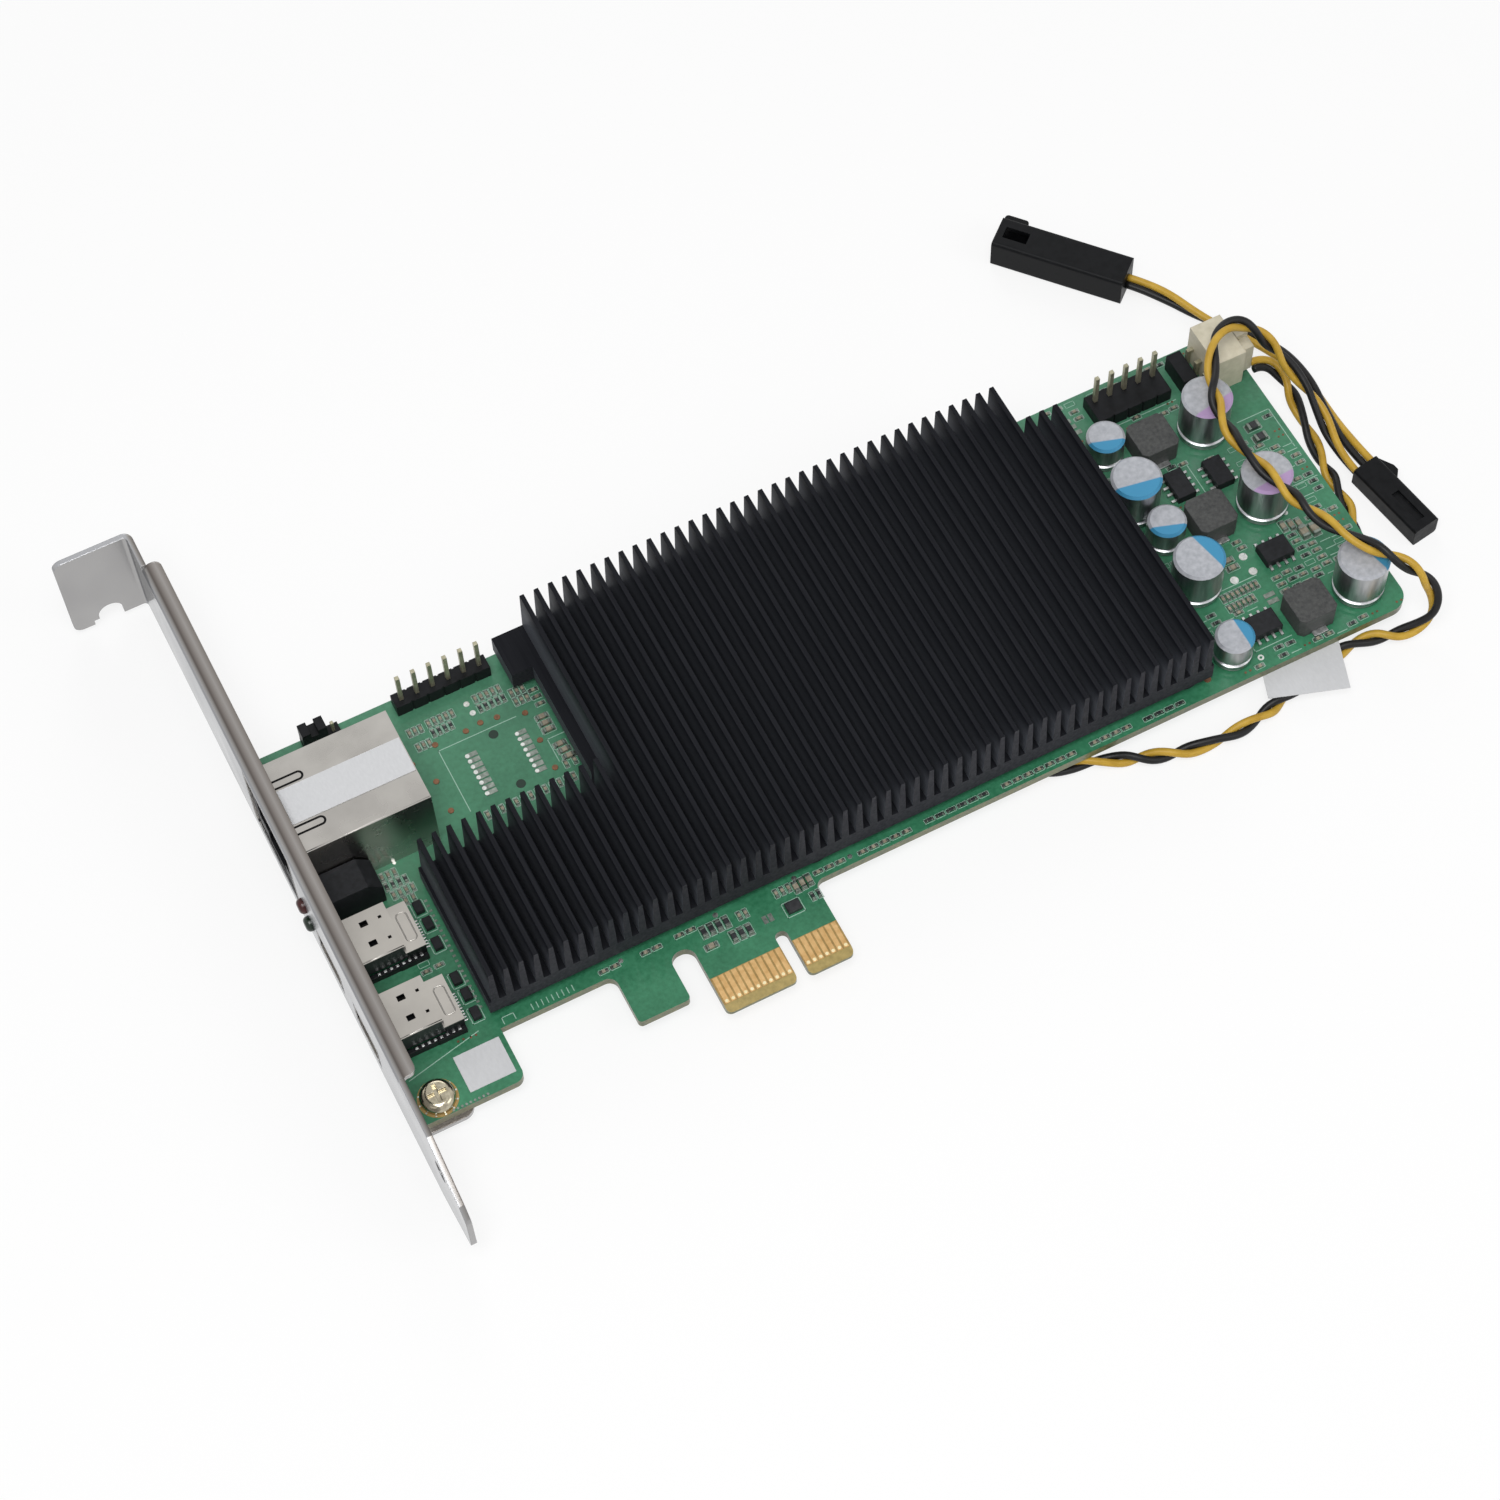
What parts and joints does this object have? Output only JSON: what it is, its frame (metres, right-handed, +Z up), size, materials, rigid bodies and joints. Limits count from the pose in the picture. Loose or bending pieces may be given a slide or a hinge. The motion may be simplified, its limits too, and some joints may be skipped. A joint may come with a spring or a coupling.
{
  "type": "remote access host card",
  "caption": "Computer expansion card with an edge connector, a bracket with sockets, one large finned heat sink and a twisted two-wire harness.",
  "frame": {"origin": "centre of the card's footprint, without the harness, on the surface that it lies on: under the heads of the heat sink's screws", "axes": "+X along the card from the bracket to the far end, +Y from the edge connector to the top edge, +Z up out of the side that carries the heat sink"},
  "size_m": [0.1919, 0.12, 0.0197],
  "materials": {
    "board": "satin",
    "gold": "polished",
    "bright_sheet": "polished",
    "screw_metal": "satin",
    "black_anodised": "satin",
    "black_plastic": "matte",
    "chip_resin": "matte",
    "pad_grey": "matte",
    "socket_shell": "satin",
    "solder": "satin",
    "pin_metal": "satin",
    "white_plastic": "satin",
    "can_metal": "satin",
    "seal": "matte",
    "paper_white": "matte",
    "red_lens": "gloss",
    "green_lens": "gloss",
    "wire_skin": "satin"
  },
  "bodies": {
    "root": {"board_sticker": "paper_white", "bracket_screw": "screw_metal", "cable_header": "white_plastic", "cable_header_pins": "pin_metal", "cable_plug": "white_plastic", "capacitor_bases": "seal", "capacitor_large_1": "can_metal", "capacitor_large_2": "can_metal", "capacitor_large_3": "can_metal", "capacitor_small_1": "can_metal", "capacitor_small_2": "can_metal", "capacitor_small_3": "can_metal", "capacitor_tall_1": "can_metal", "capacitor_tall_2": "can_metal", "circuit_board": "board", "connector_a": "black_plastic", "connector_b": "black_plastic", "display_insulator_1": "black_plastic", "display_insulator_2": "black_plastic", "display_shell_1": "socket_shell", "display_shell_2": "socket_shell", "flag_label": "paper_white", "gold_fingers": "gold", "heat_sink": "black_anodised", "heat_sink_screws": "screw_metal", "heat_sink_washers": "black_plastic", "inductor_1": "chip_resin", "inductor_2": "chip_resin", "inductor_3": "chip_resin", "inductor_terminals": "solder", "io_bracket": "bright_sheet", "jack_contacts": "gold", "jack_insert": "black_plastic", "jack_label": "paper_white", "jack_shell": "socket_shell", "jumper_base": "black_plastic", "jumper_cap": "black_plastic", "jumper_pins": "pin_metal", "key_block": "black_plastic", "lead_link": "wire_skin", "lead_long": "wire_skin", "lens_green": "green_lens", "lens_red": "red_lens", "light_clip": "pin_metal", "light_holder": "black_plastic", "line_filters": "chip_resin", "memory_chips": "chip_resin", "power_chip_leads": "solder", "power_chips": "chip_resin", "processor": "chip_resin", "six_header_base": "black_plastic", "six_header_pins": "pin_metal", "solder_joints": "solder", "ten_header_base": "black_plastic", "ten_header_pins": "pin_metal", "thermal_pads": "pad_grey"}
  },
  "joints": []
}
